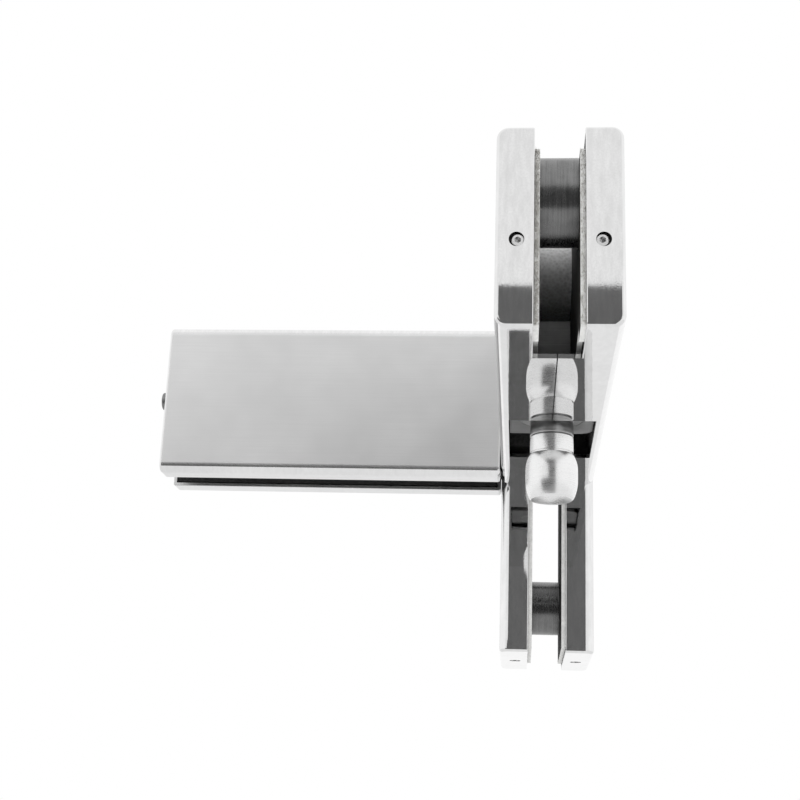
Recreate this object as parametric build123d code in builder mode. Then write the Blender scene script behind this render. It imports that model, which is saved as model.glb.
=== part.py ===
from build123d import *
import os

# Patch fitting for a frameless glass door: an L-shaped clamp for the glass over and beside the door, with a
# sliding top pivot under its long limb and a clamp for a glass fin at right angles to it.
# The origin is the centre of the pivot pin's head. +Z is up, the long limb runs to -Y, the fin points to -X.

# Section across the glass, the same for the limb, the leg and the fin
glass_gap = 9.6  # between the gaskets, which grip 10 mm glass
gasket_thickness = 1.3
cover_depth = 9.2
sheet = 1.2  # folded stainless sheet
plate_clearance = 0.3  # a clamp plate's outer face to the cover's inside
edge_play = 0.4  # a clamp plate's rim to the cover's inside
corner_radius = 3.2  # where the limb's top meets the leg's outer face
edge_radius = 3.0  # along the long edges
end_radius = 1.0  # round the end faces
mouth_radius = 0.3  # softened rim of a cover

# Outline of the limb and leg, seen from the side
limb_height = 51.5
limb_reach = 151.5  # front end to the leg's inner face
leg_depth = 51.5
leg_drop = 55.8
pivot_setback = 66.5  # pin's axis to the leg's inner face
pivot_drop = 14.0  # limb's underside to the centre of the pin's head

# Underside of the covers
lip_setback = 23.0  # front end to the lips that close the underside
seam = 0.3
notch_front = 8.1  # ahead of the pin's axis
notch_rear = 32.0  # behind the pin's axis
notch_width = 24.8

# Gasket and plate rims
gasket_end_inset = 1.8
gasket_glass_inset = 5.2  # on the edges where the glass comes in
plate_lift = 3.8  # plate's underside above the limb's underside, behind the lips
tab_lift = 0.6  # gasket's lower end in front of the lips
tab_play = 10.5  # from the tab to the lips

# Screws through the glass and their sleeves
sleeve_diameter = 18.6
front_sleeve_diameter = 22.3
bar_reach = 44.0  # middle sleeve's bar, from its screw to the rear
bar_play = 0.2  # bar to each plate
bar_step = 0.1  # bar inside the sleeve's outline
sleeve_bore = 8.6
sleeve_chamfer = 0.4
sleeve_play = 0.5  # gasket round a sleeve
screw_diameter = 8.0
screw_play = 0.1  # on the diameter
head_diameter = 16.0
head_land = 0.4  # straight rim of a countersunk head
screw_end_gap = 1.0  # screw's tip short of the far face
socket_across = 5.0
socket_depth = 2.6
outer_inset = 11.7  # screws from the limb's top and the leg's outer face
front_inset = 16.0
front_drop = 1.2  # front screw below the others
leg_inset = 20.3
middle_ahead = 17.0  # middle screw ahead of the pin's axis

# Set screws that hold the covers
set_diameter = 3.0
set_length = 5.5
set_socket = 1.5
set_socket_depth = 1.8
set_hole = 3.7
set_sink = 0.5  # screw's end below the cover's face
set_side = 9.95  # from the glass's mid-plane
set_hole_side = 10.25
limb_set_rise = 21.8  # above the limb's underside
leg_set_setback = 25.5  # behind the leg's inner face

# Pivot block and its pocket
block_width = 24.4
block_length = 28.8
block_ceiling = 23.8  # block's top below the limb's top
block_lift = 2.7  # block's underside above the limb's underside
block_corner = 4.0  # on the right, to suit the milled pocket
block_edge = 0.6
slide_play = 0.15
slide_end_play = 0.6
block_headroom = 0.5
rail_lift = 8.5  # above the limb's underside
rail_height = 5.0
rail_depth = 1.05
rail_play = 0.3
pocket_extra = 11.0  # right pocket runs on past the notch

# Bush, pin and circlip
bush_diameter = 18.4
bush_length = 18.0
bush_neck_diameter = 12.5
bush_neck_length = 5.2
bush_chamfer = 0.25
recess_diameter = 22.0  # round the circlip, in the block's top
journal_diameter = 10.0
journal_play = 0.05  # on the radius
thrust_play = 0.2
collar_diameter = 12.5
collar_chamfer = 0.3
head_of_pin = 15.0
head_band = 3.0  # straight band round the middle of the head
head_shoulder = 6.0  # centre of the head to its upper end
head_tip = 7.2  # centre of the head to its lower end
tip_diameter = 12.7
tip_chamfer = 0.5
tip_dome = 0.5
pin_groove_width = 0.6
pin_groove_depth = 0.4
pin_top_length = 3.3  # journal beyond the bush
circlip_thickness = 1.0
circlip_rise = 0.3
circlip_groove = 9.5
circlip_diameter = 14.6
circlip_gap = 3.6
circlip_eye = 1.9
circlip_eye_hole = 0.9

# Fin clamp
fin_lead = 10.9  # fin's front face ahead of the leg's inner face
fin_length = 114.8
fin_play = 0.3  # fin's covers to the limb's cover
bracket_reach = 22.2
bracket_lower = 4.0
bracket_upper = 5.0
window_play = 0.5
mounting_lower = 14.0  # above the limb's underside
mounting_upper = 37.5
mounting_grip = 16.0  # thread in the bracket
fin_inner_screw = 10.4  # from the fin's root
fin_outer_screw = 18.4  # from the fin's end
button_diameter = 6.0
button_height = 1.6
button_edge = 0.5
button_shank = 4.0
button_grip = 6.0
button_socket = 2.0
button_hole = 4.4
button_side = 10.4  # from the fin glass's mid-plane

# Places worked out from the sizes above
gasket_seat = glass_gap / 2 + gasket_thickness
outer_side = gasket_seat + cover_depth
plate_side = outer_side - sheet - plate_clearance
plate_thickness = plate_side - gasket_seat
plate_inset = sheet + edge_play
leg_inner = pivot_setback
leg_outer = leg_inner + leg_depth
limb_front = leg_inner - limb_reach
limb_under = pivot_drop
limb_top = limb_under + limb_height
leg_end = limb_under - leg_drop
lip_front = limb_front + lip_setback
tab_rear = lip_front - tab_play
screw_level = limb_top - outer_inset
screw_rear = leg_outer - outer_inset
screw_places = {
    "front": (limb_front + front_inset, screw_level - front_drop),
    "middle": (-middle_ahead, screw_level),
    "corner": (screw_rear, screw_level),
    "leg": (screw_rear, leg_end + leg_inset),
}
block_under = limb_under + block_lift
block_top = limb_top - block_ceiling
block_height = block_top - block_under
pocket_side = block_width / 2 + slide_play
pocket_front = -block_length / 2 - slide_end_play
pocket_top = block_top + block_headroom
rail_low = limb_under + rail_lift
rail_side = pocket_side - rail_depth
bush_top = block_under + bush_length
bush_end = block_under - bush_neck_length
collar_top = bush_end - thrust_play
circlip_low = bush_top + circlip_rise
fin_mid = leg_inner - fin_lead + outer_side
fin_root = -outer_side - fin_play
fin_end = fin_root - fin_length
fin_level = limb_under + limb_height / 2
bracket_end = -plate_side - bracket_reach
fin_screw_places = (fin_root - fin_inner_screw, fin_end + fin_outer_screw)
limb_ends = ((5, 0), (2, 3))  # corners at the ends of the limb and the leg
limb_elbow = 4  # corner where the limb's top meets the leg's outer face
fin_ends = ((3, 0), (1, 2))
sleeve_sizes = {name: front_sleeve_diameter if name == "front" else sleeve_diameter for name in screw_places}


def limb_corners(front, under, inner, end, outer, top):
    """Corners of the limb and leg, each side brought in by its own inset."""
    return [
        (limb_front + front, limb_under + under),
        (leg_inner + inner, limb_under + under),
        (leg_inner + inner, leg_end + end),
        (leg_outer - outer, leg_end + end),
        (leg_outer - outer, limb_top - top),
        (limb_front + front, limb_top - top),
    ]


def fin_corners(inset):
    """Corners of the fin clamp, seen from the front."""
    return [
        (fin_end + inset, limb_under + inset),
        (fin_root - inset, limb_under + inset),
        (fin_root - inset, limb_top - inset),
        (fin_end + inset, limb_top - inset),
    ]


def pressed_form(plane, corners, ends, elbow, depth, inset, rim):
    """Outline extruded to a depth, with the far face's long edges rounded, and the ends by a rim radius."""
    middles = [((corners[a][0] + corners[b][0]) / 2, (corners[a][1] + corners[b][1]) / 2) for a, b in ends]
    with BuildPart() as form:
        with BuildSketch(plane) as outline:
            Polygon(*corners, align=None)
            if elbow:
                fillet(outline.vertices().sort_by_distance(corners[elbow])[0], corner_radius - inset)
        extrude(amount=depth)
        far = form.faces().sort_by(Axis(plane.origin, plane.z_dir))[-1 if depth > 0 else 0]
        square = [far.edges().sort_by_distance(plane.from_local_coords((u, v, depth)))[0] for u, v in middles]
        long_edges = [edge for edge in far.edges() if not any(edge.is_same(end) for end in square)]
        fillet(long_edges, edge_radius - inset)
        if rim:
            for u, v in middles:
                end_face = form.faces().sort_by_distance(plane.from_local_coords((u, v, depth / 2)))[0]
                mouth = end_face.edges().sort_by_distance(plane.from_local_coords((u, v, 0)))[0]
                fillet([edge for edge in end_face.edges() if not edge.is_same(mouth)], rim)
    return form.part


def limb_cover(side):
    """Folded cover of the limb and leg: side is -1 for the left one, 1 for the right one."""
    mouth = Plane.YZ.offset(side * gasket_seat)
    outside = limb_corners(0, 0, 0, 0, 0, 0)
    inside = limb_corners(sheet, sheet, sheet, sheet, sheet, sheet)
    blank = pressed_form(mouth, outside, limb_ends, limb_elbow, side * cover_depth, 0, end_radius)
    cavity = pressed_form(mouth, inside, limb_ends, limb_elbow, side * (cover_depth - sheet), sheet, 0)
    with BuildPart() as cover:
        add(blank)
        rim = cover.faces().sort_by(Axis.X)[0 if side > 0 else -1]
        fillet(rim.edges(), mouth_radius)
        add(cavity, mode=Mode.SUBTRACT)
        # Lips that meet at a seam under the glass
        lip_width = gasket_seat + sheet - seam / 2
        with BuildSketch(Plane.XY.offset(limb_under)):
            with Locations((side * (seam / 2 + lip_width / 2), (lip_front + leg_inner) / 2)):
                Rectangle(lip_width, leg_inner - lip_front)
        extrude(amount=sheet)
        # Notch that the pin and its block slide in
        with BuildSketch(Plane.XY.offset(limb_under - sheet)):
            with Locations((0, (notch_rear - notch_front) / 2)):
                Rectangle(notch_width, notch_rear + notch_front)
        extrude(amount=3 * sheet, mode=Mode.SUBTRACT)
        # Holes over the set screws in the limb's front end and the leg's lower end
        with BuildSketch(Plane.XZ.offset(-limb_front)):
            with Locations((side * set_hole_side, limb_under + limb_set_rise)):
                Circle(set_hole / 2)
        extrude(amount=-2 * sheet, mode=Mode.SUBTRACT)
        with BuildSketch(Plane.XY.offset(leg_end)):
            with Locations((side * set_hole_side, leg_inner + leg_set_setback)):
                Circle(set_hole / 2)
        extrude(amount=2 * sheet, mode=Mode.SUBTRACT)
        if side < 0:
            # Window for the fin's bracket
            with BuildSketch(Plane.YZ.offset(-outer_side)):
                with Locations((fin_mid, bracket_mid)):
                    Rectangle(2 * (gasket_seat + window_play), bracket_height + 2 * window_play)
            extrude(amount=2 * sheet, mode=Mode.SUBTRACT)
    return cover


def countersunk_form(plane, length, play):
    """Countersunk screw's outer form, grown by a play for its hole: the head's face lies on the plane."""
    radius = (screw_diameter + play) / 2
    head = (head_diameter + play) / 2
    with BuildPart() as form:
        with BuildSketch(Plane(origin=plane.origin, x_dir=plane.x_dir, z_dir=plane.y_dir)):
            with BuildLine():
                Polyline((0, 0), (head, 0), (head, head_land), (radius, head_land + head - radius),
                         (radius, length), (0, length), close=True)
            make_face()
        revolve(axis=Axis(plane.origin, plane.z_dir))
    return form.part


def clamp_plate(side):
    """Cast plate behind one gasket, with the pocket and rail for the pivot block."""
    seat = Plane.YZ.offset(side * gasket_seat)
    corners = limb_corners(plate_inset, plate_lift, plate_inset, plate_inset, plate_inset, plate_inset)
    pocket_rear = notch_rear + (pocket_extra if side > 0 else 0)
    blank = pressed_form(seat, corners, limb_ends, limb_elbow, side * plate_thickness, plate_inset, 0)
    with BuildPart() as plate:
        add(blank)
        with BuildSketch(seat):
            with Locations((pocket_front, limb_under)):
                Rectangle(pocket_rear - pocket_front, pocket_top - limb_under, align=Align.MIN)
        extrude(amount=side * (pocket_side - gasket_seat), mode=Mode.SUBTRACT)
        with BuildSketch(Plane.YZ.offset(side * rail_side)):
            with Locations((pocket_front, rail_low)):
                Rectangle(pocket_rear - pocket_front, rail_height, align=Align.MIN)
        extrude(amount=side * (plate_side - rail_side))
        for y, z in screw_places.values():
            face = Plane(origin=(side * plate_side, y, z), z_dir=(side, 0, 0))
            if side > 0:
                add(countersunk_form(face, plate_thickness + screw_end_gap, screw_play), mode=Mode.SUBTRACT)
            else:
                with Locations(face):
                    Hole((screw_diameter + screw_play) / 2, plate_thickness)
        # Threads for the cover's set screws
        limb_thread = Plane(origin=(side * set_side, limb_front, limb_under + limb_set_rise),
                            z_dir=(0, -1, 0))
        leg_thread = Plane(origin=(side * set_side, leg_inner + leg_set_setback, leg_end), z_dir=(0, 0, -1))
        with Locations(limb_thread, leg_thread):
            Hole((set_diameter + screw_play) / 2, set_sink + set_length + screw_end_gap)
        if side < 0:
            for z in mounting_levels:
                face = Plane(origin=(-gasket_seat, fin_mid, z), z_dir=(1, 0, 0))
                add(countersunk_form(face, plate_thickness + screw_end_gap, screw_play), mode=Mode.SUBTRACT)
    return plate


def limb_gasket(side):
    """Fibre sheet between a clamp plate and the glass."""
    corners = limb_corners(gasket_end_inset, plate_lift, plate_inset, gasket_end_inset,
                           gasket_glass_inset, gasket_glass_inset)
    pocket_rear = notch_rear + (pocket_extra if side > 0 else 0)
    with BuildPart() as gasket:
        with BuildSketch(Plane.YZ.offset(side * glass_gap / 2)):
            Polygon(*corners, align=None)
            with Locations((limb_front + gasket_end_inset, limb_under + tab_lift)):
                Rectangle(tab_rear - limb_front - gasket_end_inset, limb_height / 4, align=Align.MIN)
            with Locations((pocket_front, limb_under)):
                Rectangle(pocket_rear - pocket_front, pocket_top - limb_under, align=Align.MIN,
                          mode=Mode.SUBTRACT)
            with Locations(screw_places["middle"]):
                Rectangle(bar_reach + sleeve_play, sleeve_diameter + 2 * sleeve_play,
                          align=(Align.MIN, Align.CENTER), mode=Mode.SUBTRACT)
            for name, place in screw_places.items():
                with Locations(place):
                    Circle(sleeve_sizes[name] / 2 + sleeve_play, mode=Mode.SUBTRACT)
        extrude(amount=side * gasket_thickness)
    return gasket


def spacer_sleeve(plane, diameter, bar):
    """Sleeve round a clamp screw, between the two plates, and a bar of a given reach behind it."""
    with BuildPart() as sleeve:
        with BuildSketch(plane):
            Circle(diameter / 2)
        extrude(amount=gasket_seat, both=True)
        chamfer(sleeve.edges().filter_by(GeomType.CIRCLE), sleeve_chamfer)
        if bar:
            with BuildSketch(plane):
                Rectangle(bar, diameter - 2 * bar_step, align=(Align.MIN, Align.CENTER))
            extrude(amount=gasket_seat - bar_play, both=True)
        with BuildSketch(plane):
            Circle(sleeve_bore / 2)
        extrude(amount=gasket_seat, both=True, mode=Mode.SUBTRACT)
    return sleeve


def countersunk_screw(plane, length):
    """Countersunk screw with a hex socket."""
    with BuildPart() as screw:
        add(countersunk_form(plane, length, 0))
        with BuildSketch(plane):
            RegularPolygon(socket_across / 2, 6, major_radius=False)
        extrude(amount=-socket_depth, mode=Mode.SUBTRACT)
    return screw.part


def set_screw(plane):
    """Headless hex socket screw with a cone point: its socket end lies on the plane."""
    radius = set_diameter / 2
    with BuildPart() as screw:
        with BuildSketch(plane):
            Circle(radius)
        extrude(amount=-set_length)
        along = Axis(plane.origin, plane.z_dir)
        chamfer(screw.edges().filter_by(GeomType.CIRCLE).sort_by(along)[0], radius / 2)
        chamfer(screw.edges().filter_by(GeomType.CIRCLE).sort_by(along)[-1], radius / 8)
        with BuildSketch(plane):
            RegularPolygon(set_socket / 2, 6, major_radius=False)
        extrude(amount=-set_socket_depth, mode=Mode.SUBTRACT)
    return screw.part


def button_screw(plane):
    """Low button head screw: the underside of its head lies on the plane."""
    with BuildPart() as screw:
        with BuildSketch(plane):
            Circle(button_diameter / 2)
        extrude(amount=button_height)
        fillet(screw.edges().sort_by(Axis(plane.origin, plane.z_dir))[-1], button_edge)
        with BuildSketch(plane.offset(button_height)):
            RegularPolygon(button_socket / 2, 6, major_radius=False)
        extrude(amount=-button_height / 2, mode=Mode.SUBTRACT)
        with BuildSketch(plane):
            Circle(button_shank / 2)
        extrude(amount=-button_grip)
    return screw.part


def fin_plane(side):
    """Plane of the fin's gasket seat: side is -1 for the front, 1 for the rear. Its normal is -Y."""
    return Plane.XZ.offset(-(fin_mid + side * gasket_seat))


def fin_cover(side):
    """Folded cover of the fin clamp."""
    mouth = fin_plane(side)
    depth = -side * cover_depth
    blank = pressed_form(mouth, fin_corners(0), fin_ends, None, depth, 0, end_radius)
    cavity = pressed_form(mouth, fin_corners(sheet), fin_ends, None, depth + side * sheet, sheet, 0)
    with BuildPart() as cover:
        add(blank)
        rim = cover.faces().sort_by(Axis.Y)[0 if side > 0 else -1]
        fillet(rim.edges(), mouth_radius)
        add(cavity, mode=Mode.SUBTRACT)
        with BuildSketch(Plane.YZ.offset(fin_end)):
            with Locations((fin_mid + side * button_side, fin_level)):
                Circle(button_hole / 2)
        extrude(amount=2 * sheet, mode=Mode.SUBTRACT)
    return cover


def fin_plate(side):
    """Clamp plate of the fin: the screws' heads sit in the rear one, their threads in the front one."""
    blank = pressed_form(fin_plane(side), fin_corners(plate_inset), fin_ends, None, -side * plate_thickness,
                         plate_inset, 0)
    with BuildPart() as plate:
        add(blank)
        for x in fin_screw_places:
            face = Plane(origin=(x, fin_mid + side * plate_side, fin_level), z_dir=(0, side, 0))
            if side > 0:
                add(countersunk_form(face, plate_thickness + screw_end_gap, screw_play), mode=Mode.SUBTRACT)
            else:
                with Locations(face):
                    Hole((screw_diameter + screw_play) / 2, plate_thickness)
        with Locations(Plane(origin=(fin_end, fin_mid + side * button_side, fin_level), z_dir=(-1, 0, 0))):
            Hole((button_shank + screw_play) / 2, button_grip + screw_end_gap)
    return plate


def fin_gasket(side):
    """Fibre sheet of the fin clamp, from the fin's end to the bracket."""
    low = limb_under + plate_lift
    high = limb_top - gasket_glass_inset
    left = fin_end + gasket_end_inset
    with BuildPart() as gasket:
        with BuildSketch(Plane.XZ.offset(-(fin_mid + side * glass_gap / 2))):
            with Locations((left, low)):
                Rectangle(bracket_end - sleeve_play - left, high - low, align=Align.MIN)
            with Locations((fin_screw_places[1], fin_level)):
                Circle(sleeve_diameter / 2 + sleeve_play, mode=Mode.SUBTRACT)
        extrude(amount=-side * gasket_thickness)
    return gasket


bracket_low = limb_under + bracket_lower
bracket_height = limb_height - bracket_lower - bracket_upper
bracket_mid = bracket_low + bracket_height / 2
mounting_levels = (limb_under + mounting_lower, limb_under + mounting_upper)

left_cover = limb_cover(-1)
right_cover = limb_cover(1)
left_clamp_plate = clamp_plate(-1)
right_clamp_plate = clamp_plate(1)
left_gasket = limb_gasket(-1)
right_gasket = limb_gasket(1)
sleeves = {}
for name, (y, z) in screw_places.items():
    middle = Plane(origin=(0, y, z), x_dir=(0, 1, 0), z_dir=(1, 0, 0))
    sleeves[name] = spacer_sleeve(middle, sleeve_sizes[name], bar_reach if name == "middle" else 0)

# Screws that pull the two plates together, headed in the right plate and threaded into the left one
with BuildPart() as clamp_screws:
    for y, z in screw_places.values():
        head_plane = Plane(origin=(plate_side, y, z), z_dir=(1, 0, 0))
        add(countersunk_screw(head_plane, 2 * plate_side - screw_end_gap))

# Screws that hold the covers, in the limb's front end and the leg's lower end
with BuildPart() as cover_set_screws:
    for side in (-1, 1):
        add(set_screw(Plane(origin=(side * set_side, limb_front + set_sink, limb_under + limb_set_rise),
                            z_dir=(0, -1, 0))))
        add(set_screw(Plane(origin=(side * set_side, leg_inner + leg_set_setback, leg_end + set_sink),
                            z_dir=(0, 0, -1))))

# Block that slides between the plates and carries the pin's bush
with BuildPart() as pivot_block:
    with BuildSketch(Plane.XY.offset(block_under)):
        Rectangle(block_width, block_length)
    extrude(amount=block_height)
    uprights = pivot_block.edges().filter_by(Axis.Z).group_by(Axis.X)
    fillet(uprights[-1], block_corner)
    fillet(pivot_block.edges().filter_by(Axis.Z).group_by(Axis.X)[0], block_edge)
    groove_height = rail_height + 2 * rail_play
    groove_depth = rail_depth - slide_play + rail_play
    for side in (-1, 1):
        with BuildSketch(Plane.YZ.offset(side * block_width / 2)):
            with Locations((0, rail_low + rail_height / 2)):
                Rectangle(block_length, groove_height)
        extrude(amount=-side * groove_depth, mode=Mode.SUBTRACT)
    with BuildSketch(Plane.XY.offset(block_under)):
        Circle(bush_diameter / 2)
    extrude(amount=bush_length, mode=Mode.SUBTRACT)
    with BuildSketch(Plane.XY.offset(bush_top)):
        Circle(recess_diameter / 2)
    extrude(amount=block_top - bush_top, mode=Mode.SUBTRACT)

# Bush with a neck that the pin's collar runs against
with BuildPart() as pivot_bush:
    with BuildSketch(Plane.XY.offset(bush_top)):
        Circle(bush_diameter / 2)
    extrude(amount=-bush_length)
    chamfer(pivot_bush.edges().sort_by(Axis.Z)[0], bush_chamfer)
    with BuildSketch(Plane.XY.offset(block_under)):
        Circle(bush_neck_diameter / 2)
    extrude(amount=-bush_neck_length)
    chamfer(pivot_bush.edges().sort_by(Axis.Z)[0], bush_chamfer)
    with BuildSketch(Plane.XY.offset(bush_end)):
        Circle(journal_diameter / 2 + journal_play)
    extrude(amount=bush_top - bush_end, mode=Mode.SUBTRACT)

# Turned pin: journal, collar, groove and crowned head, from the top down
journal = journal_diameter / 2
collar = collar_diameter / 2
crown = head_of_pin / 2
tip = tip_diameter / 2
pin_top = bush_top + pin_top_length
groove_low = head_shoulder
groove_high = head_shoulder + pin_groove_width
with BuildPart() as pivot_pin:
    with BuildSketch(Plane.XZ):
        with BuildLine():
            Polyline((0, pin_top), (journal - collar_chamfer, pin_top), (journal, pin_top - collar_chamfer),
                     (journal, circlip_low + circlip_thickness),
                     (circlip_groove / 2, circlip_low + circlip_thickness),
                     (circlip_groove / 2, circlip_low), (journal, circlip_low), (journal, collar_top),
                     (collar - collar_chamfer, collar_top), (collar, collar_top - collar_chamfer),
                     (collar, groove_high), (collar - pin_groove_depth, groove_high),
                     (collar - pin_groove_depth, groove_low), (collar, groove_low))
            TangentArc((crown, head_band / 2), (collar, groove_low), tangent=(0, 1))
            Line((crown, head_band / 2), (crown, -head_band / 2))
            TangentArc((crown, -head_band / 2), (tip, tip_chamfer - head_tip), tangent=(0, -1))
            Line((tip, tip_chamfer - head_tip), (tip - tip_chamfer, -head_tip))
            TangentArc((0, -head_tip - tip_dome), (tip - tip_chamfer, -head_tip), tangent=(1, 0))
            Line((0, -head_tip - tip_dome), (0, pin_top))
        make_face()
    revolve(axis=Axis.Z)

# Retaining ring in the journal's groove
with BuildPart() as pin_circlip:
    with BuildSketch(Plane.XY.offset(circlip_low)):
        Circle(circlip_diameter / 2)
        eye_turn = (circlip_diameter + circlip_groove) / 4
        with Locations((-circlip_gap / 2 - circlip_eye, eye_turn), (circlip_gap / 2 + circlip_eye, eye_turn)):
            Circle(circlip_eye)
        Circle(circlip_groove / 2 + journal_play, mode=Mode.SUBTRACT)
        with Locations((0, circlip_diameter / 2)):
            Rectangle(circlip_gap, circlip_diameter, mode=Mode.SUBTRACT)
        with Locations((-circlip_gap / 2 - circlip_eye, eye_turn), (circlip_gap / 2 + circlip_eye, eye_turn)):
            Circle(circlip_eye_hole, mode=Mode.SUBTRACT)
    extrude(amount=circlip_thickness)

# Bracket that reaches through the left cover and stands between the fin's plates
with BuildPart() as fin_bracket:
    with BuildSketch(Plane.YZ.offset(-plate_side)):
        with Locations((fin_mid, bracket_mid)):
            Rectangle(2 * gasket_seat, bracket_height)
    extrude(amount=-bracket_reach)
    for z in mounting_levels:
        with Locations(Plane(origin=(-plate_side, fin_mid, z), z_dir=(1, 0, 0))):
            Hole((screw_diameter + screw_play) / 2, mounting_grip + screw_end_gap)
    with Locations(Plane(origin=(fin_screw_places[0], fin_mid + gasket_seat, fin_level), z_dir=(0, 1, 0))):
        Hole(sleeve_bore / 2, 2 * gasket_seat)

with BuildPart() as fin_mounting_screws:
    for z in mounting_levels:
        add(countersunk_screw(Plane(origin=(-gasket_seat, fin_mid, z), z_dir=(1, 0, 0)),
                              plate_thickness + mounting_grip))

fin_front_cover = fin_cover(-1)
fin_rear_cover = fin_cover(1)
fin_front_plate = fin_plate(-1)
fin_rear_plate = fin_plate(1)
fin_front_gasket = fin_gasket(-1)
fin_rear_gasket = fin_gasket(1)
fin_sleeve_middle = Plane(origin=(fin_screw_places[1], fin_mid, fin_level), z_dir=(0, 1, 0))
fin_sleeve = spacer_sleeve(fin_sleeve_middle, sleeve_diameter, 0)

with BuildPart() as fin_clamp_screws:
    for x in fin_screw_places:
        add(countersunk_screw(Plane(origin=(x, fin_mid + plate_side, fin_level), z_dir=(0, 1, 0)),
                              2 * plate_side - screw_end_gap))

with BuildPart() as fin_cover_screws:
    for side in (-1, 1):
        add(button_screw(Plane(origin=(fin_end, fin_mid + side * button_side, fin_level), z_dir=(-1, 0, 0))))

pieces = {
    "left_cover": left_cover,
    "right_cover": right_cover,
    "left_clamp_plate": left_clamp_plate,
    "right_clamp_plate": right_clamp_plate,
    "left_gasket": left_gasket,
    "right_gasket": right_gasket,
    "clamp_screws": clamp_screws,
    "cover_set_screws": cover_set_screws,
    "pivot_block": pivot_block,
    "pivot_bush": pivot_bush,
    "pivot_pin": pivot_pin,
    "pin_circlip": pin_circlip,
    "fin_bracket": fin_bracket,
    "fin_mounting_screws": fin_mounting_screws,
    "fin_front_cover": fin_front_cover,
    "fin_rear_cover": fin_rear_cover,
    "fin_front_plate": fin_front_plate,
    "fin_rear_plate": fin_rear_plate,
    "fin_front_gasket": fin_front_gasket,
    "fin_rear_gasket": fin_rear_gasket,
    "fin_sleeve": fin_sleeve,
    "fin_clamp_screws": fin_clamp_screws,
    "fin_cover_screws": fin_cover_screws,
}
for name, sleeve in sleeves.items():
    pieces[name + "_sleeve"] = sleeve

os.makedirs("parts", exist_ok=True)
for name, piece in pieces.items():
    piece.part.label = name
    export_step(piece.part, f"parts/{name}.step")
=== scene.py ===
import bpy
import numpy as np
from mathutils import Matrix, Vector


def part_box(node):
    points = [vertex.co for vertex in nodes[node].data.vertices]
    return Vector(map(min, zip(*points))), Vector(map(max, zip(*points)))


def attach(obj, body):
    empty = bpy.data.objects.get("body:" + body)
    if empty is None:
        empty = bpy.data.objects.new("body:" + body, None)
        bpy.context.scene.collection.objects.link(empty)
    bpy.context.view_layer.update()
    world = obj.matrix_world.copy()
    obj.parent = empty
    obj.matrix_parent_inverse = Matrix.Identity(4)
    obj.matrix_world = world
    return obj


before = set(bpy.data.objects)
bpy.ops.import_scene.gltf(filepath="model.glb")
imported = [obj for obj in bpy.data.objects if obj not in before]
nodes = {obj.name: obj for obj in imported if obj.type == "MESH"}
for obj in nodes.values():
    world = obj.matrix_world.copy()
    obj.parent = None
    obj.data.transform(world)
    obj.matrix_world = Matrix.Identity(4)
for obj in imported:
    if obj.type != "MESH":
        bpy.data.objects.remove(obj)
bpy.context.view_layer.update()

scene = bpy.context.scene
mm = 0.001
axisX, axisY = 0, 1
print("frame loaded:", len(nodes), "nodes")


# sRGB hex to the linear colour that a shader takes
def linear(code):
    parts = [int(code[i:i + 2], 16) / 255 for i in (1, 3, 5)]
    return [c / 12.92 if c <= 0.04045 else ((c + 0.055) / 1.055) ** 2.4 for c in parts] + [1.0]


# Adds a node: settings are its own properties or input values, links are input name to output socket
def node(tree, kind, settings=None, links=None):
    made = tree.nodes.new(kind)
    for key, value in (settings or {}).items():
        if isinstance(key, str) and hasattr(made, key):
            setattr(made, key, value)
        else:
            made.inputs[key].default_value = value
    for key, socket in (links or {}).items():
        tree.links.new(socket, made.inputs[key])
    return made


camera = {
    "place": (-8.15, -384.46, -98.03),  # millimetres
    "forward": (-0.0896, 0.9505, 0.2974),
    "right": (0.9959, 0.0825, 0.0363),
    "lens": 61.91,
    "sensor": 36.0,
    "clip": (0.01, 50.0),  # nearest and farthest that it sees, metres
}


def makeCamera(values):
    forward = Vector(values["forward"]).normalized()
    right = Vector(values["right"])
    right = (right - forward * right.dot(forward)).normalized()
    up = right.cross(forward)
    data = bpy.data.cameras.new("camera")
    data.lens = values["lens"]
    data.sensor_width = values["sensor"]
    data.clip_start, data.clip_end = values["clip"]
    made = bpy.data.objects.new("camera", data)
    turn = Matrix((right, up, -forward)).transposed().to_4x4()
    made.matrix_world = Matrix.Translation(Vector(values["place"]) * mm) @ turn
    scene.collection.objects.link(made)
    scene.camera = made


makeCamera(camera)
print("camera placed")

# White all round, as in a light tent, with the grey gap behind the camera that polished metal shows
surroundings = {
    "seen": "#FFFFFF",  # what the camera and reflections see, at a strength of 1
    "fill": 0.85,  # strength for matte surfaces
    "floorLevel": -1.1,  # metres
    "floorSide": 14.0,
    "floorColour": "#FFFFFF",
    "card": "#767676",
    "cardPlace": -1300.0,  # millimetres along Y
    "cardStep": 5.0,  # the low card stands this far behind the others
    "highCard": (-55.0, 120.0, -900.0, 519.0),  # left, right, bottom, top
    "lowCard": (-330.0, 400.0, -900.0, 375.0),
    "sideCard": (-1400.0, -325.0, -900.0, 150.0),
}


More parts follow.
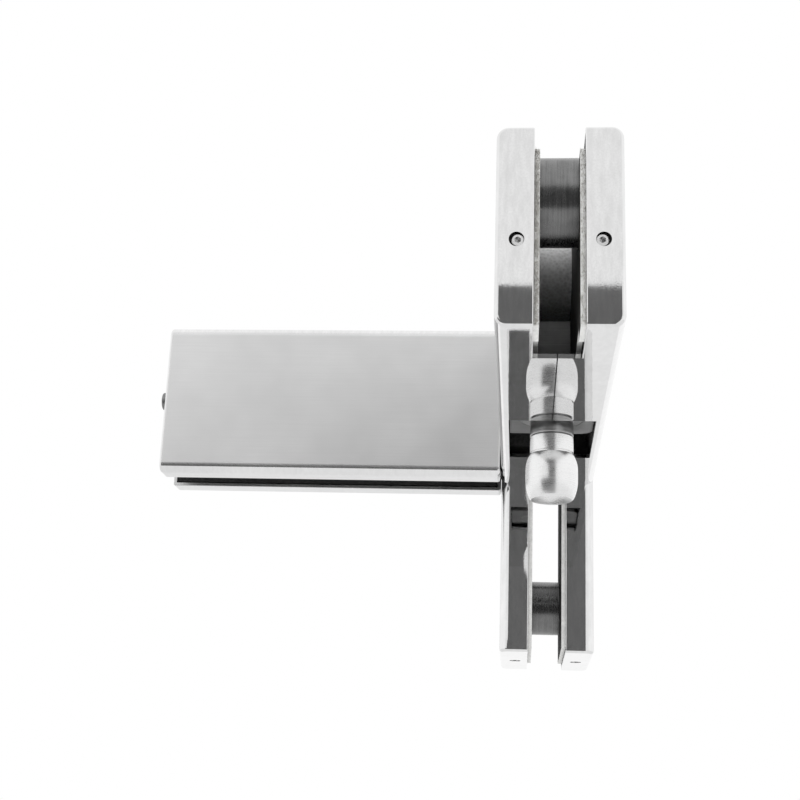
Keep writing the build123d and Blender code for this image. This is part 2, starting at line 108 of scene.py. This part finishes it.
def makeWorld(values):
    world = bpy.data.worlds.new("whiteTent")
    scene.world = world
    world.use_nodes = True
    tree = world.node_tree
    tree.nodes.clear()
    path = node(tree, "ShaderNodeLightPath")
    seen = node(tree, "ShaderNodeMath", {"operation": "ADD", "use_clamp": True},
                {0: path.outputs["Is Camera Ray"], 1: path.outputs["Is Glossy Ray"]})
    seen = node(tree, "ShaderNodeMath", {"operation": "ADD", "use_clamp": True},
                {0: seen.outputs[0], 1: path.outputs["Is Transmission Ray"]})
    plain = node(tree, "ShaderNodeBackground", {"Color": linear(values["seen"]), "Strength": 1.0})
    fill = node(tree, "ShaderNodeBackground", {"Color": linear(values["seen"]), "Strength": values["fill"]})
    mix = node(tree, "ShaderNodeMixShader", {}, {0: seen.outputs[0], 1: fill.outputs[0], 2: plain.outputs[0]})
    node(tree, "ShaderNodeOutputWorld", {}, {"Surface": mix.outputs[0]})


def stageMaterial(name, colour):
    made = bpy.data.materials.new(name)
    made.use_nodes = True
    tree = made.node_tree
    tree.nodes.clear()
    matte = node(tree, "ShaderNodeBsdfDiffuse", {"Color": linear(colour)})
    node(tree, "ShaderNodeOutputMaterial", {}, {"Surface": matte.outputs[0]})
    return made


def stagePlane(name, corners, material):
    mesh = bpy.data.meshes.new(name)
    mesh.from_pydata(corners, [], [(0, 1, 2, 3)])
    mesh.materials.append(material)
    made = bpy.data.objects.new(name, mesh)
    scene.collection.objects.link(made)
    return made


def reflectionCard(name, limits, place, material):
    left, right, bottom, top = (value * mm for value in limits)
    corners = [(left, place, bottom), (right, place, bottom), (right, place, top), (left, place, top)]
    card = stagePlane(name, corners, material)
    card.visible_camera = False
    card.visible_diffuse = False
    card.visible_shadow = False


makeWorld(surroundings)
half = surroundings["floorSide"] / 2
level = surroundings["floorLevel"]
floorCorners = [(-half, -half, level), (half, -half, level), (half, half, level), (-half, half, level)]
stagePlane("floor", floorCorners, stageMaterial("paleFloor", surroundings["floorColour"]))
cardGrey = stageMaterial("cardGrey", surroundings["card"])
cardPlace = surroundings["cardPlace"] * mm
lowCardPlace = cardPlace - surroundings["cardStep"] * mm
reflectionCard("highCard", surroundings["highCard"], cardPlace, cardGrey)
reflectionCard("lowCard", surroundings["lowCard"], lowCardPlace, cardGrey)
reflectionCard("sideCard", surroundings["sideCard"], cardPlace, cardGrey)
print("surroundings made")


# Noise stretched to a size in millimetres along each axis of the object
def grain(tree, place, sizes, detail=3.0):
    scales = [1 / (size * mm) for size in sizes]
    scaled = node(tree, "ShaderNodeMapping", {"Scale": scales}, {"Vector": place})
    noise = node(tree, "ShaderNodeTexNoise", {"Scale": 1.0, "Detail": detail, "Roughness": 0.6},
                 {"Vector": scaled.outputs[0]})
    return noise.outputs[0]


# Stretches a value to a new range, where noise mostly lies between 0.3 and 0.7
def spread(tree, value, low, high, fromLow=0.3, fromHigh=0.7):
    return node(tree, "ShaderNodeMapRange",
                {"From Min": fromLow, "From Max": fromHigh, "To Min": low, "To Max": high},
                {"Value": value}).outputs[0]


def mixNumber(tree, share, first, second):
    return node(tree, "ShaderNodeMix", {"data_type": "FLOAT"}, {0: share, 2: first, 3: second}).outputs[0]


def mixColour(tree, share, first, second):
    return node(tree, "ShaderNodeMix", {"data_type": "RGBA"}, {0: share, 6: first, 7: second}).outputs[2]


def tint(tree, share, low, high):
    return node(tree, "ShaderNodeMix", {"data_type": "RGBA", 6: linear(low), 7: linear(high)},
                {0: share}).outputs[2]


def product(tree, first, second):
    return node(tree, "ShaderNodeMath", {"operation": "MULTIPLY"}, {0: first, 1: second}).outputs[0]


# Share of a surface that faces along one axis of the object, 1 on the flat and 0 past the start of a bend
def facing(tree, coordinates, axis, start=0.9, full=0.99):
    split = node(tree, "ShaderNodeSeparateXYZ", {}, {0: coordinates.outputs["Normal"]})
    size = node(tree, "ShaderNodeMath", {"operation": "ABSOLUTE"}, {0: split.outputs[axis]})
    return spread(tree, size.outputs[0], 0.0, 1.0, start, full)


def startMaterial(name, metallic):
    made = bpy.data.materials.new(name)
    made.use_nodes = True
    tree = made.node_tree
    shader = tree.nodes["Principled BSDF"]
    shader.inputs["Metallic"].default_value = metallic
    return made, tree, shader, node(tree, "ShaderNodeTexCoord")


def relief(tree, shader, height, depth, strength):
    bump = node(tree, "ShaderNodeBump", {"Distance": depth * mm, "Strength": strength}, {"Height": height})
    tree.links.new(bump.outputs[0], shader.inputs["Normal"])


# Folded stainless sheet: brushed on its broad faces, buffed to a mirror at its ends, edges and underside.
# The eye sees fine parallel lines on the flats, and crisp reflections with faint drag marks elsewhere.
coverSteel = {
    "pale": "#F3F3F3",
    "grey": "#E3E3E3",
    "endPale": "#EAEAEA",  # end faces, buffed less evenly
    "endGrey": "#D2D2D2",
    "brushedPale": "#E6E6E6",
    "brushedGrey": "#D0D0D0",
    "brushedRough": (0.28, 0.36),
    "polishedRough": (0.012, 0.04),
    "line": 0.35,  # width of a brushed line, drawn coarser than the real 0.05 mm so that it shows
    "lineLength": 26.0,
    "lineThrough": 1.0,  # into the sheet, where it doesn't show
    "drag": 1.3,  # width of a buffing mark
    "dragLength": 5.0,
    "cloud": 24.0,  # patches of unevenness
    "speck": 0.5,
    "cloudShare": (0.35, 1.0),  # how far patches and lines darken a brushed face
    "lineShare": (0.75, 1.0),
    "dragShare": (0.3, 1.0),  # and how far drag marks and specks darken an end face
    "speckShare": (0.6, 1.0),
    "lineDepth": 0.004,
    "waveDepth": 0.02,
    "waveStrength": 0.18,
}


def makeCoverSteel(name, broadAxis, lineSizes, values):
    made, tree, shader, coordinates = startMaterial(name, 1.0)
    place = coordinates.outputs["Object"]
    broad = facing(tree, coordinates, broadAxis)
    lines = grain(tree, place, lineSizes, 4.0)
    drags = grain(tree, place, (values["drag"], values["drag"] * 2, values["dragLength"]), 4.0)
    cloud = grain(tree, place, (values["cloud"],) * 3, 2.0)
    specks = grain(tree, place, (values["speck"],) * 3, 2.0)
    patches = spread(tree, cloud, *values["cloudShare"])
    patchy = product(tree, patches, spread(tree, lines, *values["lineShare"]))
    brushed = tint(tree, patchy, values["brushedGrey"], values["brushedPale"])
    ripple = mixNumber(tree, specks, drags, cloud)
    sides = tint(tree, spread(tree, ripple, 0.0, 1.0), values["grey"], values["pale"])
    dulled = spread(tree, drags, *values["dragShare"])
    uneven = product(tree, dulled, spread(tree, specks, *values["speckShare"]))
    ends = tint(tree, uneven, values["endGrey"], values["endPale"])
    polished = mixColour(tree, facing(tree, coordinates, axisY), sides, ends)
    tree.links.new(mixColour(tree, broad, polished, brushed), shader.inputs["Base Color"])
    satin = spread(tree, mixNumber(tree, specks, lines, cloud), *values["brushedRough"])
    mirror = spread(tree, ripple, *values["polishedRough"])
    tree.links.new(mixNumber(tree, broad, mirror, satin), shader.inputs["Roughness"])
    waveSettings = {"Distance": values["waveDepth"] * mm, "Strength": values["waveStrength"]}
    wave = node(tree, "ShaderNodeBump", waveSettings, {"Height": ripple})
    fine = node(tree, "ShaderNodeBump", {"Distance": values["lineDepth"] * mm},
                {"Height": lines, "Normal": wave.outputs[0], "Strength": product(tree, broad, broad)})
    tree.links.new(fine.outputs[0], shader.inputs["Normal"])
    return made


# Turned and bored steel: rings of tool marks round an axis, under a thin polish or a dull film.
# The eye sees fine bands across the axis that smear each reflection a little along it.
turnedMarks = {"cloud": 6.0, "speck": 0.3, "strength": 0.6}  # sizes in millimetres


def makeTurnedSteel(name, values, marks=turnedMarks):
    made, tree, shader, coordinates = startMaterial(name, 1.0)
    place = coordinates.outputs["Object"]
    rings = grain(tree, place, values["ring"], 3.0)
    cloud = grain(tree, place, (marks["cloud"],) * 3, 3.0)
    specks = grain(tree, place, (marks["speck"],) * 3, 2.0)
    worn = mixNumber(tree, specks, rings, cloud)
    tree.links.new(tint(tree, spread(tree, worn, 0.0, 1.0), values["grey"], values["pale"]),
                   shader.inputs["Base Color"])
    tree.links.new(spread(tree, worn, *values["rough"]), shader.inputs["Roughness"])
    relief(tree, shader, rings, values["depth"], marks["strength"])
    return made


# Cast metal: a skin of small pits and lumps from the mould, duller in its hollows.
# The eye sees a matt, mottled grey with soft sparkle.
castSkin = {"cloud": 9.0, "strength": 0.8}


def makeCastMetal(name, values, skinValues=castSkin):
    made, tree, shader, coordinates = startMaterial(name, values["metallic"])
    place = coordinates.outputs["Object"]
    lumps = grain(tree, place, (values["lump"],) * 3, 5.0)
    pits = node(tree, "ShaderNodeTexVoronoi", {"Scale": 1 / (values["pit"] * mm)}, {"Vector": place})
    cloud = grain(tree, place, (skinValues["cloud"],) * 3, 3.0)
    skin = mixNumber(tree, cloud, lumps, pits.outputs[0])
    tree.links.new(tint(tree, spread(tree, skin, 0.0, 1.0), values["grey"], values["pale"]),
                   shader.inputs["Base Color"])
    tree.links.new(spread(tree, lumps, *values["rough"]), shader.inputs["Roughness"])
    relief(tree, shader, skin, values["depth"], skinValues["strength"])
    return made


# Compressed fibre sheet: pale torn fibres on the cut edges, and faces painted dark as the shade inside the
# slot.
# The eye sees a grainy off-white edge line beside a dull face darkened with painted shade.
fibreSheet = {
    # painted shade: the faces' dark colours stand for the shade between plate and cover inside the slot
    "face": ("#2A2A29", "#454442"),
    "edge": ("#E3E3E1", "#FDFDFB"),
    "thread": 0.45,  # width of a fibre bundle
    "threadLength": 1.6,
    "clump": 2.2,
    "paleFrom": (0.35, 0.6),  # the noise's range that the edge's colours are spread over
    "turn": (0.6, 0.8),  # where a bend goes over from edge to face
    "faceRough": 0.8,
    "edgeRough": 0.95,
    "depth": 0.05,
    "strength": 1.0,
}


def makeFibreSheet(name, faceAxis, values):
    made, tree, shader, coordinates = startMaterial(name, 0.0)
    place = coordinates.outputs["Object"]
    face = facing(tree, coordinates, faceAxis, *values["turn"])
    threads = grain(tree, place, (values["thread"], values["threadLength"], values["thread"]), 5.0)
    clumps = grain(tree, place, (values["clump"],) * 3, 3.0)
    mixed = mixNumber(tree, clumps, threads, clumps)
    pale = tint(tree, spread(tree, mixed, 0.0, 1.0, *values["paleFrom"]), *values["edge"])
    # painted shade: the faces take these dark colours for the shade inside the slot, while the edges keep the
    # sheet's pale colour
    dark = tint(tree, spread(tree, threads, 0.0, 1.0), *values["face"])
    tree.links.new(mixColour(tree, face, pale, dark), shader.inputs["Base Color"])
    roughness = spread(tree, face, values["edgeRough"], values["faceRough"], 0.0, 1.0)
    tree.links.new(roughness, shader.inputs["Roughness"])
    relief(tree, shader, threads, values["depth"], values["strength"])
    return made


# A ring's three sizes are the tool marks' lengths along X, Y and Z, short along the axis they are turned on.
# Where all three are alike, the finish is an even grain.
pinSteel = {  # turned and polished: bright, with faint rings
    "ring": (40.0, 40.0, 0.3),
    "grey": "#E8E8E8",
    "pale": "#F8F8F8",
    "rough": (0.22, 0.34),
    "depth": 0.003,
}
bushSteel = {  # bored and faced: a grey ring round the pin
    "ring": (20.0, 20.0, 0.4),
    "grey": "#8E8E8E",
    "pale": "#C2C2C2",
    "rough": (0.25, 0.45),
    "depth": 0.01,
}
blockSteel = {  # milled across: dull grey with straight marks
    "ring": (30.0, 0.5, 0.5),
    "grey": "#777777",
    "pale": "#A6A6A6",
    "rough": (0.3, 0.5),
    "depth": 0.015,
}
sleeveSteel = {  # turned: dark, with glossy bands
    "ring": (0.4, 14.0, 14.0),
    "grey": "#626262",
    "pale": "#8E8E8E",
    "rough": (0.2, 0.32),
    "depth": 0.006,
}
brightSteel = {  # bright screws: small clear highlights
    "ring": (0.5, 0.5, 0.5),
    "grey": "#C6C6C6",
    "pale": "#F2F2F2",
    "rough": (0.16, 0.3),
    "depth": 0.01,
}
darkSteel = {  # blackened screws and circlip: dark with a dull sheen
    "ring": (0.6, 0.6, 0.6),
    "grey": "#2C2C2C",
    "pale": "#4A4A4A",
    "rough": (0.35, 0.55),
    "depth": 0.01,
}
plainSteel = {  # plain screws: mid grey with a soft sheen
    "ring": (0.6, 0.6, 0.6),
    "grey": "#6E6E6E",
    "pale": "#9C9C9C",
    "rough": (0.3, 0.5),
    "depth": 0.01,
}
plateCast = {  # blackened casting: nearly black and matt
    "metallic": 0.2,
    "lump": 1.1,
    "pit": 0.8,
    "grey": "#1C1C1C",
    "pale": "#343434",
    "rough": (0.7, 0.9),
    "depth": 0.03,
}
bossCast = {  # raw casting: pale, mottled grey
    "metallic": 0.1,
    "lump": 1.3,
    "pit": 0.9,
    "grey": "#CCCCCC",
    "pale": "#F0F0F0",
    "rough": (0.45, 0.7),
    "depth": 0.05,
}

# Brushing runs along the limb on its covers, and along the fin clamp on its own
limbLines = (coverSteel["lineThrough"], coverSteel["lineLength"], coverSteel["line"])
finLines = (coverSteel["lineLength"], coverSteel["lineThrough"], coverSteel["line"])
brushedLimb = makeCoverSteel("brushedLimbSteel", axisX, limbLines, coverSteel)
brushedFin = makeCoverSteel("brushedFinSteel", axisY, finLines, coverSteel)
limbFibre = makeFibreSheet("limbFibreSheet", axisX, fibreSheet)
finFibre = makeFibreSheet("finFibreSheet", axisY, fibreSheet)
finishes = {
    "left_cover": brushedLimb,
    "right_cover": brushedLimb,
    "fin_front_cover": brushedFin,
    "fin_rear_cover": brushedFin,
    "left_gasket": limbFibre,
    "right_gasket": limbFibre,
    "fin_front_gasket": finFibre,
    "fin_rear_gasket": finFibre,
}
groups = (
    (makeTurnedSteel("turnedPinSteel", pinSteel), ("pivot_pin",)),
    (makeTurnedSteel("boredBushSteel", bushSteel), ("pivot_bush",)),
    (makeTurnedSteel("milledBlockSteel", blockSteel), ("pivot_block",)),
    (makeTurnedSteel("turnedSleeveSteel", sleeveSteel),
     ("front_sleeve", "corner_sleeve", "leg_sleeve", "fin_sleeve")),
    (makeTurnedSteel("brightScrewSteel", brightSteel), ("cover_set_screws",)),
    (makeTurnedSteel("plainScrewSteel", plainSteel), ("fin_cover_screws",)),
    (makeTurnedSteel("blackenedSteel", darkSteel),
     ("clamp_screws", "fin_clamp_screws", "fin_mounting_screws", "pin_circlip")),
    (makeCastMetal("blackenedCasting", plateCast),
     ("left_clamp_plate", "right_clamp_plate", "fin_front_plate", "fin_rear_plate", "fin_bracket")),
    (makeCastMetal("rawCasting", bossCast), ("middle_sleeve",)),
)
for finish, names in groups:
    for name in names:
        finishes[name] = finish
for name, made in nodes.items():
    made.data.materials.clear()
    made.data.materials.append(finishes[name])
print("finishes given to", len(finishes), "nodes")

# Loose fibres on the cut front edge of each limb gasket, in millimetres
fraying = {
    "count": {"left_gasket": 1100, "right_gasket": 350},  # the left one is cut more roughly
    "seed": 11,
    "edge": (14.8, 60.0),  # height of the cut front edge above the pin's centre
    "margin": 0.1,  # roots to the gasket's faces
    "rootDepth": 0.05,
    "length": (0.25, 1.3),
    "reach": 1.3,  # furthest out of the edge
    "width": 0.15,
    "taper": 1.05,  # 1 would end each fibre in a point
    "lean": (0.25, 0.6),  # sideways and upright
    "bend": 0.4,
    "bendShares": (0.5, 0.3, 1.0),
    "stray": 0.7,  # past the gasket's face, into the slot
    "steps": 5,
    "sides": 3,
}


# A fibre is a tapered tube: its axis is root + t (along) + t^2 (bend), its radius is width (taper - t) / 2
def makeFibres(name, gasket, values, seed):
    low, high = (np.array(corner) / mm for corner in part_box(gasket))
    chance = np.random.default_rng(seed)
    count, steps, sides = values["count"][gasket], values["steps"], values["sides"]
    middle = (low[0] + high[0]) / 2
    roots = np.column_stack([
        chance.uniform(low[0] + values["margin"], high[0] - values["margin"], count),
        np.full(count, low[1] + values["rootDepth"]),
        chance.uniform(*values["edge"], count),
    ])
    lengths = chance.uniform(*values["length"], count)
    sideways, upright = values["lean"]
    along = np.column_stack([
        chance.normal(0, sideways, count),
        -np.ones(count),
        chance.normal(0, upright, count),
    ])
    along *= (lengths / np.linalg.norm(along, axis=1))[:, None]
    bend = chance.normal(0, values["bend"], (count, 3)) * values["bendShares"]
    t = np.linspace(0, 1, steps)[None, :, None]
    axis = roots[:, None] + t * along[:, None] + t ** 2 * bend[:, None]
    axis[..., 0] = np.clip(axis[..., 0], low[0] - values["stray"] * (middle > 0),
                           high[0] + values["stray"] * (middle < 0))
    axis[..., 1] = np.clip(axis[..., 1], low[1] - values["reach"], None)
    turns = np.arange(sides) * 2 * np.pi / sides
    ring = np.column_stack([np.cos(turns), np.zeros(sides), np.sin(turns)])
    radius = values["width"] / 2 * (values["taper"] - t)
    points = axis[:, :, None] + radius[..., None] * ring[None, None]
    step = np.arange(count * steps).reshape(count, steps)[:, :-1].reshape(-1, 1) * sides
    side = np.arange(sides)[None]
    nextSide = (side + 1) % sides
    quads = np.stack([step + side, step + nextSide, step + sides + nextSide, step + sides + side], axis=-1)
    firsts = np.arange(count)[:, None] * steps * sides
    rootCaps = firsts + np.arange(sides)[::-1]
    tipCaps = firsts + (steps - 1) * sides + np.arange(sides)
    faces = [*quads.reshape(-1, 4).tolist(), *rootCaps.tolist(), *tipCaps.tolist()]
    mesh = bpy.data.meshes.new(name)
    mesh.from_pydata((points.reshape(-1, 3) * mm).tolist(), [], faces)
    mesh.polygons.foreach_set("use_smooth", np.ones(len(mesh.polygons), bool))
    made = bpy.data.objects.new(name, mesh)
    scene.collection.objects.link(made)
    return made


# Loose cellulose fibres: matt off-white with darker patches. The eye sees a soft, uneven pale fringe.
looseFibreLook = {
    "dark": "#B9B7B1",
    "pale": "#F0EEE9",
    "rough": (0.85, 1.0),
    "patch": 0.6,
    "depth": 0.02,
    "strength": 0.5,
}


def makeLooseFibre(name, values):
    made, tree, shader, coordinates = startMaterial(name, 0.0)
    place = coordinates.outputs["Object"]
    patches = grain(tree, place, (values["patch"],) * 3, 3.0)
    tree.links.new(tint(tree, spread(tree, patches, 0.0, 1.0), values["dark"], values["pale"]),
                   shader.inputs["Base Color"])
    tree.links.new(spread(tree, patches, *values["rough"]), shader.inputs["Roughness"])
    relief(tree, shader, patches, values["depth"], values["strength"])
    return made


looseFibre = makeLooseFibre("looseFibre", looseFibreLook)
for order, gasket in enumerate(("left_gasket", "right_gasket")):
    fringe = makeFibres(gasket + "_fringe", gasket, fraying, fraying["seed"] + order)
    fringe.data.materials.append(looseFibre)
    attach(fringe, "fitting")
print("gasket edges frayed")

scene.view_settings.view_transform = "Standard"
